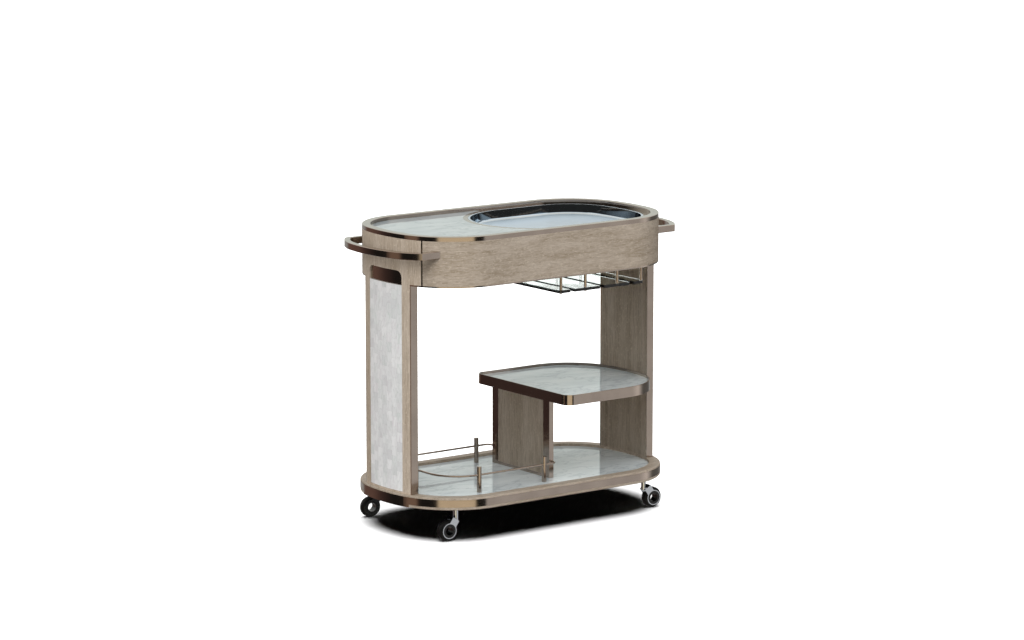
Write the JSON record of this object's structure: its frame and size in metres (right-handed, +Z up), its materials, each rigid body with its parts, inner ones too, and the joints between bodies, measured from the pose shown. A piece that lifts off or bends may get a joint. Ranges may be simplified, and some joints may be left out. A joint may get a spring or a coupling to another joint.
{
  "type": "beverage cart",
  "caption": "Oval bar cart on swivel casters: wooden frame with bronze trim, marble tiers, lift-out ice basin, push handles, bottle gallery and hanging stem-glass rack.",
  "frame": {"origin": "on the floor, under the middle of the cart", "axes": "+X along the cart to the end with the ice basin and shelf, -Y to the front, +Z up"},
  "size_m": [1.053, 0.526, 0.894],
  "materials": {
    "oak_veneer": "matt lacquered greige oak",
    "bronze_steel": "polished bronze tint",
    "marble": "polished, grey veins",
    "mother_of_pearl": "satin chips",
    "polished_steel": "polished",
    "clear_glass": "clear, polished edges",
    "chrome": "bright",
    "black_plastic": "satin",
    "tyre_rubber": "matt"
  },
  "bodies": {
    "cart": {"apron_seam_strips": "bronze_steel", "apron_trim": "bronze_steel", "back_apron": "oak_veneer", "base_band": "bronze_steel", "base_board": "oak_veneer", "base_frame": "oak_veneer", "base_marble": "marble", "basin_ring": "bronze_steel", "caster_sockets": "chrome", "divider_back_cap": "bronze_steel", "divider_foot": "bronze_steel", "divider_front_cap": "bronze_steel", "divider_panel": "oak_veneer", "front_apron": "oak_veneer", "gallery_posts": "bronze_steel", "gallery_rail": "bronze_steel", "left_end_panel": "oak_veneer", "left_grip_plate": "bronze_steel", "left_handle": "bronze_steel", "left_leg_back_strip": "bronze_steel", "left_leg_front_strip": "bronze_steel", "left_mosaic": "mother_of_pearl", "mid_shelf_band": "bronze_steel", "mid_shelf_board": "oak_veneer", "mid_shelf_marble": "marble", "rack_cap_screws": "bronze_steel", "rack_plate": "clear_glass", "rack_posts": "bronze_steel", "right_end_panel": "oak_veneer", "right_grip_plate": "bronze_steel", "right_handle": "bronze_steel", "right_leg_back_strip": "bronze_steel", "right_leg_front_strip": "bronze_steel", "right_mosaic": "mother_of_pearl", "soffit": "oak_veneer", "top_deck": "oak_veneer", "top_marble": "marble", "top_rim": "bronze_steel"},
    "basin": {"ice_basin": "polished_steel"},
    "front_left_swivel": {"front_left_caster_stem": "chrome", "front_left_caster_fork": "chrome", "front_left_caster_race": "black_plastic"},
    "front_left_wheel": {"front_left_caster_wheel_rim": "black_plastic", "front_left_caster_tyre": "tyre_rubber"},
    "front_right_swivel": {"front_right_caster_stem": "chrome", "front_right_caster_fork": "chrome", "front_right_caster_race": "black_plastic"},
    "front_right_wheel": {"front_right_caster_wheel_rim": "black_plastic", "front_right_caster_tyre": "tyre_rubber"},
    "back_left_swivel": {"back_left_caster_stem": "chrome", "back_left_caster_fork": "chrome", "back_left_caster_race": "black_plastic"},
    "back_left_wheel": {"back_left_caster_wheel_rim": "black_plastic", "back_left_caster_tyre": "tyre_rubber"},
    "back_right_swivel": {"back_right_caster_stem": "chrome", "back_right_caster_fork": "chrome", "back_right_caster_race": "black_plastic"},
    "back_right_wheel": {"back_right_caster_wheel_rim": "black_plastic", "back_right_caster_tyre": "tyre_rubber"}
  },
  "joints": [
    {"name": "basin_lift", "type": "slide", "parent": "cart", "child": "basin", "axis": [0, 0, 1], "range_m": [0, 0.06]},
    {"name": "front_left_caster_swivel", "type": "hinge", "parent": "cart", "child": "front_left_swivel", "pos_m": [-0.34923, -0.1953, 0.0929], "axis": [0, 0, 1], "continuous": true},
    {"name": "front_left_wheel_spin", "type": "hinge", "parent": "front_left_swivel", "child": "front_left_wheel", "pos_m": [-0.37816, -0.19328, 0.031], "axis": [-0.0698, -0.9976, 0], "continuous": true},
    {"name": "front_right_caster_swivel", "type": "hinge", "parent": "cart", "child": "front_right_swivel", "pos_m": [0.34923, -0.1953, 0.0929], "axis": [0, 0, 1], "continuous": true},
    {"name": "front_right_wheel_spin", "type": "hinge", "parent": "front_right_swivel", "child": "front_right_wheel", "pos_m": [0.37816, -0.19732, 0.031], "axis": [0.0698, 0.9976, 0], "continuous": true},
    {"name": "back_left_caster_swivel", "type": "hinge", "parent": "cart", "child": "back_left_swivel", "pos_m": [-0.34923, 0.1953, 0.0929], "axis": [0, 0, 1], "continuous": true},
    {"name": "back_left_wheel_spin", "type": "hinge", "parent": "back_left_swivel", "child": "back_left_wheel", "pos_m": [-0.37779, 0.20033, 0.031], "axis": [-0.1736, -0.9848, 0], "continuous": true},
    {"name": "back_right_caster_swivel", "type": "hinge", "parent": "cart", "child": "back_right_swivel", "pos_m": [0.34923, 0.1953, 0.0929], "axis": [0, 0, 1], "continuous": true},
    {"name": "back_right_wheel_spin", "type": "hinge", "parent": "back_right_swivel", "child": "back_right_wheel", "pos_m": [0.37808, 0.19227, 0.031], "axis": [0.1045, 0.9945, 0], "continuous": true}
  ]
}
